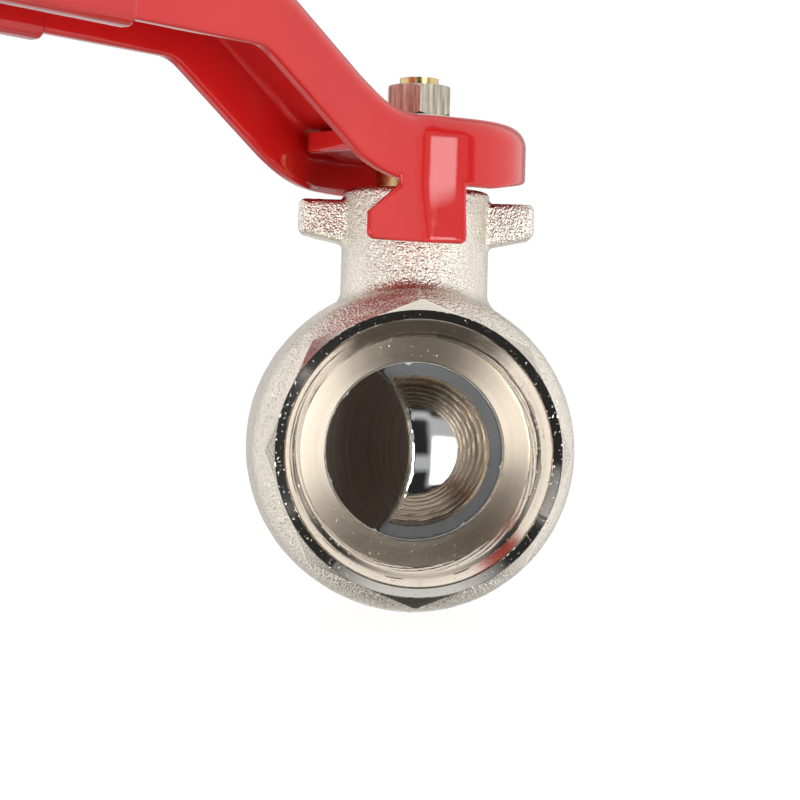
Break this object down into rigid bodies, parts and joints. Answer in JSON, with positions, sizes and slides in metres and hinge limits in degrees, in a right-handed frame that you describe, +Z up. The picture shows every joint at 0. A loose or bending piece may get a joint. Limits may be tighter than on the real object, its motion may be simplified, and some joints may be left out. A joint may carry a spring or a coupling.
{
  "type": "ball valve",
  "caption": "Two-piece full-flow threaded ball valve with octagonal female ends, chromed ball, sealed stem and a red pressed-steel quarter-turn lever.",
  "frame": {"origin": "centre of the ball, where the pipe axis meets the stem axis", "axes": "+Y along the pipe from the body end to the end connector, +Z up along the stem, +X across the pipe on the side away from the lever"},
  "size_m": [0.1465, 0.1519, 0.1092],
  "materials": {
    "nickel_body": "nickel-plated brass forging, shot-blasted, machined ends",
    "nickel_end": "nickel-plated brass, shot-blasted, machined ends",
    "chrome_ball": "hard chrome plated, polished",
    "ptfe_seat": "white PTFE",
    "black_rubber": "matt black nitrile rubber",
    "brass_stem": "turned brass",
    "ptfe_packing": "white PTFE",
    "brass_gland": "turned brass",
    "red_plate": "steel plate, glossy red coating",
    "red_lever": "pressed steel, glossy red dip coating",
    "red_sleeve": "soft red vinyl sleeve",
    "zinc_washer": "zinc plated spring steel",
    "zinc_nut": "yellowish zinc plated steel"
  },
  "bodies": {
    "valve_body": {"body": "nickel_body", "end_connector": "nickel_end", "seat_front": "ptfe_seat", "seat_rear": "ptfe_seat", "body_joint_seal": "black_rubber", "stem_thrust_washer": "ptfe_packing", "packing_ring_lower": "ptfe_packing", "packing_ring_upper": "ptfe_packing", "gland_nut": "brass_gland"},
    "lever_assembly": {"ball": "chrome_ball", "stem": "brass_stem", "stem_o_ring_lower": "black_rubber", "stem_o_ring_upper": "black_rubber", "hub_plate": "red_plate", "lever": "red_lever", "lever_sleeve": "red_sleeve", "lock_washer": "zinc_washer", "lever_nut": "zinc_nut"}
  },
  "joints": [
    {"name": "lever_turn", "type": "hinge", "parent": "valve_body", "child": "lever_assembly", "pos_m": [0, 0, 0.045], "axis": [0, 0, 1], "range_deg": [-43, 47]}
  ]
}
